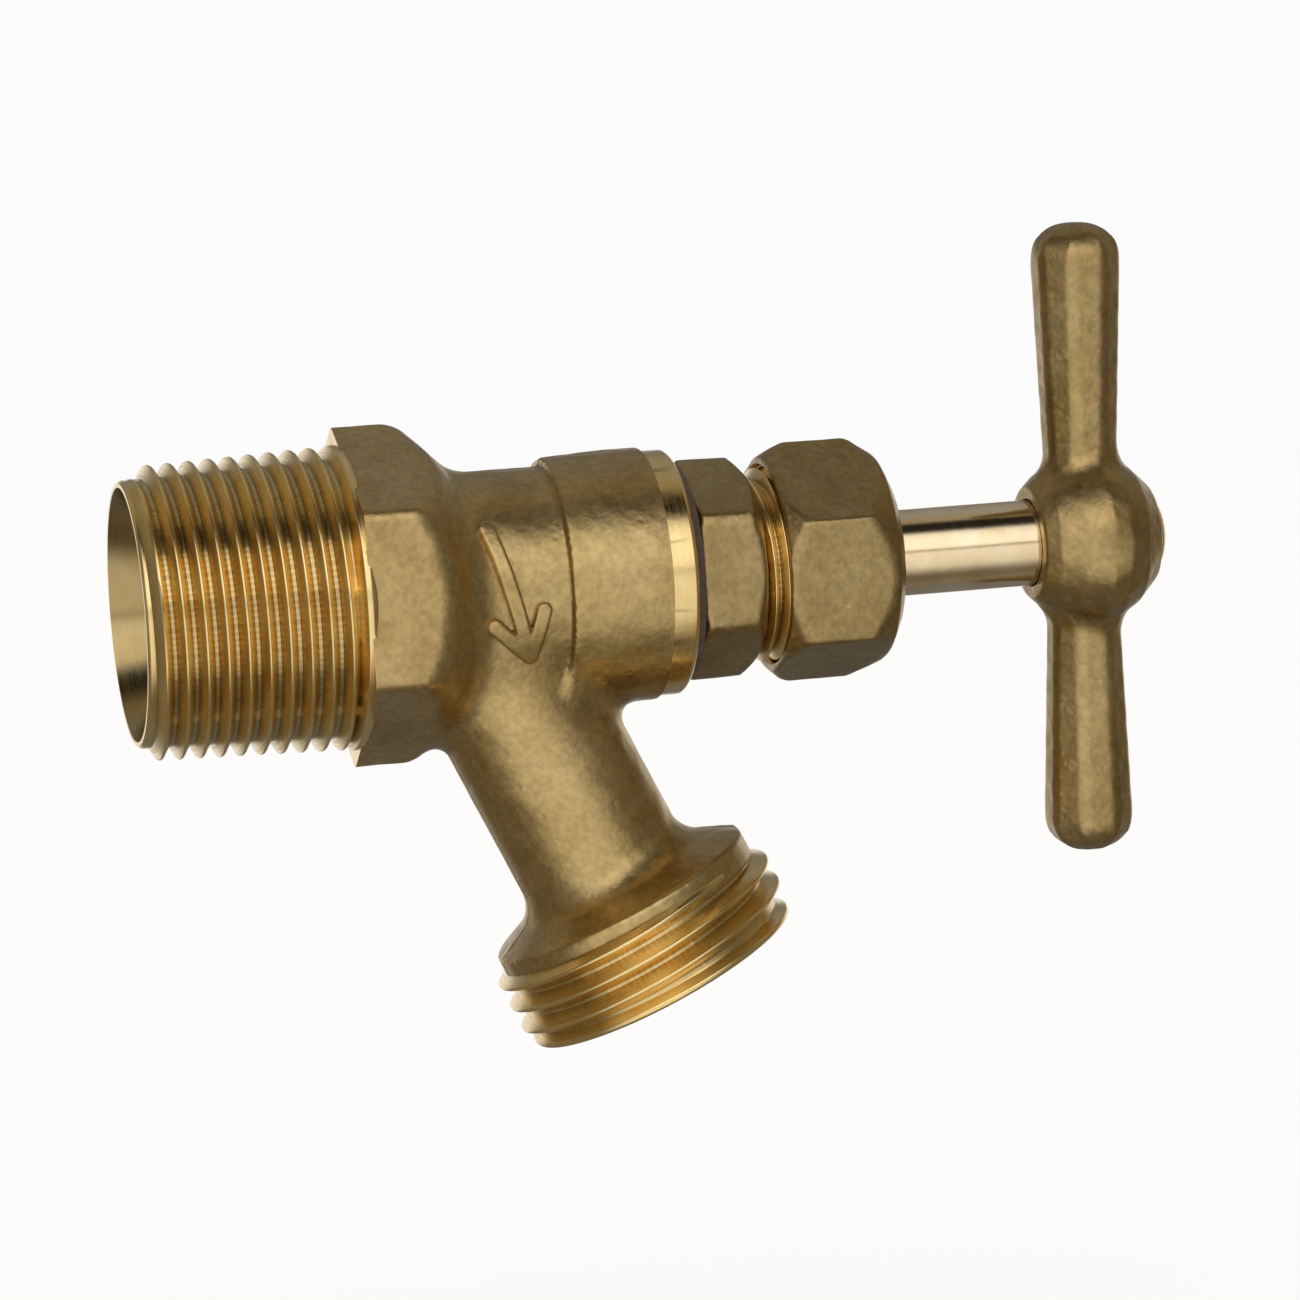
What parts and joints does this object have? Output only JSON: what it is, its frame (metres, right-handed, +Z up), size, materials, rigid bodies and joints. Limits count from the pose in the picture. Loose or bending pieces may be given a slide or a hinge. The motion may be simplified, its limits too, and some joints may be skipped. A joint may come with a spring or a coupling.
{
  "type": "hose bib",
  "caption": "Brass hose bib with a tapered male pipe inlet, an angled hose-thread spout, a rising stem and a T handle.",
  "frame": {"origin": "centre of the inlet's end face", "axes": "+X along the valve from the inlet to the handle, +Z up, away from the spout"},
  "size_m": [0.0964, 0.0272, 0.0711],
  "materials": {
    "cast_brass": "cast and tumbled, satin",
    "machined_brass": "freshly turned, bright",
    "stem_brass": "polished",
    "fibre": "pressed fibre",
    "graphite": "braided graphite",
    "rubber": "moulded"
  },
  "bodies": {
    "housing": {"valve_body": "cast_brass", "bonnet": "cast_brass", "bonnet_gasket": "fibre", "packing_washer": "machined_brass", "packing_ring_inner": "graphite", "packing_ring_outer": "graphite", "packing_gland": "machined_brass", "packing_nut": "cast_brass"},
    "disc": {"disc_holder": "machined_brass", "seat_washer": "rubber", "washer_screw": "machined_brass"},
    "spindle": {"stem": "stem_brass", "handle": "cast_brass"}
  },
  "joints": [
    {"name": "stem_rise", "type": "slide", "parent": "housing", "child": "disc", "axis": [1, 0, 0], "range_m": [-0.0076, 0.0013]},
    {"name": "stem_turn", "type": "hinge", "parent": "disc", "child": "spindle", "pos_m": [0.089, 0, 0], "axis": [1, 0, 0], "range_deg": [-1080, 180]}
  ],
  "couplings": [
    {"joint": "stem_rise", "follows": "stem_turn", "m_per_rad": 0.00039789}
  ]
}
